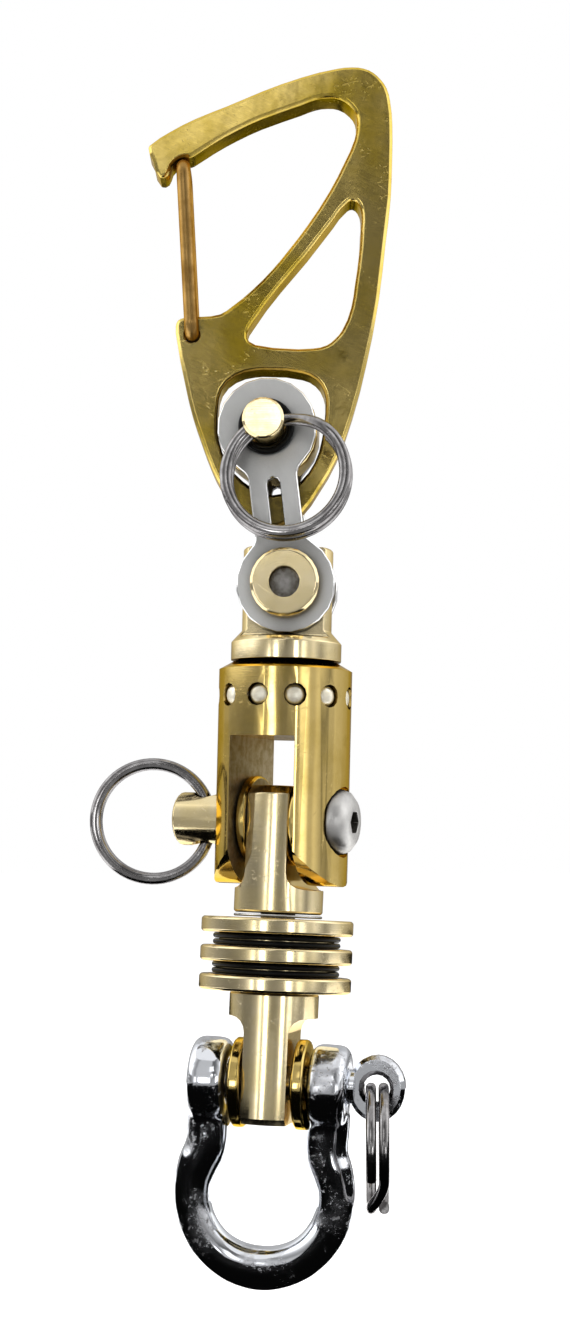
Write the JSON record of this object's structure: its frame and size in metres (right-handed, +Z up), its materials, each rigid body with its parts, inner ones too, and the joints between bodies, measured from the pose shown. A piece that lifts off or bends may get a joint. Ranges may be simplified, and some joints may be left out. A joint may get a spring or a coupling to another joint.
{
  "type": "carabiner keychain",
  "caption": "Keychain of hanging metal links: a flat carabiner with a wire gate, a slotted double link, a ball swivel fork, a hinged disc stack, a bow shackle and split rings.",
  "frame": {"origin": "the hang point: on the inner edge at the top of the carabiner's main window, in the middle of the plate's thickness", "axes": "+Z up, along the way it hangs; the carabiner's flat faces look along -Y and +Y, and the picture is taken looking along +Y; +X is the picture's right, the side away from the gate"},
  "size_m": [0.0459, 0.0245, 0.1757],
  "materials": {
    "polished_brass_olive": "polished brass, olive-gold, with fine wear scratches",
    "polished_brass_gold": "polished brass, deep gold, turned",
    "polished_brass_pale": "polished brass, pale champagne, turned",
    "bronze_wire": "drawn bronze wire, coppery brown",
    "blasted_steel": "blasted flat faces with bright chamfers",
    "satin_steel": "satin stainless steel",
    "bright_steel": "ground and polished steel",
    "ring_steel": "flattened spring wire, polished grey",
    "chrome": "chrome plate over a pitted casting",
    "black_rubber": "smooth black rubber"
  },
  "bodies": {
    "carabiner": {"carabiner_frame": "polished_brass_olive"},
    "gate": {"gate_wire": "bronze_wire"},
    "links": {"front_link_plate": "blasted_steel", "rear_link_plate": "blasted_steel", "link_roller": "polished_brass_pale", "top_pin": "polished_brass_pale", "knob_o_ring": "black_rubber", "top_pin_screw": "satin_steel", "link_screw": "satin_steel", "link_nut": "polished_brass_pale"},
    "top_ring": {"top_split_ring": "ring_steel"},
    "eye": {"swivel_eye": "polished_brass_pale"},
    "fork": {"fork_body": "polished_brass_gold", "swivel_ball_01": "bright_steel", "swivel_ball_02": "bright_steel", "swivel_ball_03": "bright_steel", "swivel_ball_04": "bright_steel", "swivel_ball_05": "bright_steel", "swivel_ball_06": "bright_steel", "swivel_ball_07": "bright_steel", "swivel_ball_08": "bright_steel", "swivel_ball_09": "bright_steel", "swivel_ball_10": "bright_steel", "swivel_ball_11": "bright_steel", "cross_pin": "polished_brass_pale", "cross_pin_screw": "satin_steel", "fork_washer_left": "polished_brass_gold", "fork_washer_right": "polished_brass_gold"},
    "side_ring": {"side_split_ring": "ring_steel"},
    "upper_stack": {"upper_tongue": "polished_brass_pale", "stack_retainer": "blasted_steel"},
    "lower_stack": {"stack_stud": "bright_steel", "top_disc": "polished_brass_pale", "middle_disc": "polished_brass_pale", "bottom_disc": "polished_brass_pale", "stack_o_ring_1": "black_rubber", "stack_o_ring_2": "black_rubber", "stack_o_ring_3": "black_rubber", "stack_o_ring_4": "black_rubber", "lower_tongue": "polished_brass_pale"},
    "shackle": {"shackle_bow": "chrome", "shackle_pin": "chrome", "shackle_washer_left": "polished_brass_gold", "shackle_washer_right": "polished_brass_gold"},
    "shackle_ring": {"shackle_split_ring": "ring_steel"}
  },
  "joints": [
    {"name": "gate_hinge", "type": "hinge", "parent": "carabiner", "child": "gate", "pos_m": [-0.01987, 0, -0.03416], "axis": [0, 1, 0], "range_deg": [0, 38], "stiffness_Nm_per_rad": 0.06, "springref_deg": -17.19},
    {"name": "link_swing", "type": "hinge", "parent": "carabiner", "child": "links", "pos_m": [-0.00877, 0, -0.04786], "axis": [0.0698, 0.9976, 0], "range_deg": [-70, 70]},
    {"name": "top_ring_swing", "type": "hinge", "parent": "links", "child": "top_ring", "pos_m": [-0.00937, -0.00858, -0.04786], "axis": [-0.9246, 0.0647, -0.3754], "range_deg": [-6, 115]},
    {"name": "eye_hinge", "type": "hinge", "parent": "links", "child": "eye", "pos_m": [-0.0061, -0.00019, -0.0702], "axis": [0.0698, 0.9976, 0], "range_deg": [-60, 60]},
    {"name": "fork_swivel", "type": "hinge", "parent": "eye", "child": "fork", "pos_m": [-0.00636, -0.00017, -0.0811], "axis": [0.0244, -0.0017, 0.9997], "continuous": true},
    {"name": "side_ring_swing", "type": "hinge", "parent": "fork", "child": "side_ring", "pos_m": [-0.01786, 0.00429, -0.10372], "axis": [0.0244, -0.0017, 0.9997], "range_deg": [-97, 53]},
    {"name": "cross_pin_hinge", "type": "hinge", "parent": "fork", "child": "upper_stack", "pos_m": [-0.00692, -0.00013, -0.10399], "axis": [0.9269, -0.3746, -0.0232], "range_deg": [-80, 80]},
    {"name": "stack_swivel", "type": "hinge", "parent": "upper_stack", "child": "lower_stack", "pos_m": [-0.00754, -0.00079, -0.11811], "axis": [0.0439, 0.0468, 0.9979], "continuous": true},
    {"name": "shackle_hinge", "type": "hinge", "parent": "lower_stack", "child": "shackle", "pos_m": [-0.00859, -0.0019, -0.1418], "axis": [0.9846, -0.1733, -0.023], "range_deg": [-115, 115]},
    {"name": "shackle_ring_swing", "type": "hinge", "parent": "shackle", "child": "shackle_ring", "pos_m": [0.00667, -0.00459, -0.14216], "axis": [-0.0419, -0.9979, 0.0503], "range_deg": [0, 110]}
  ]
}
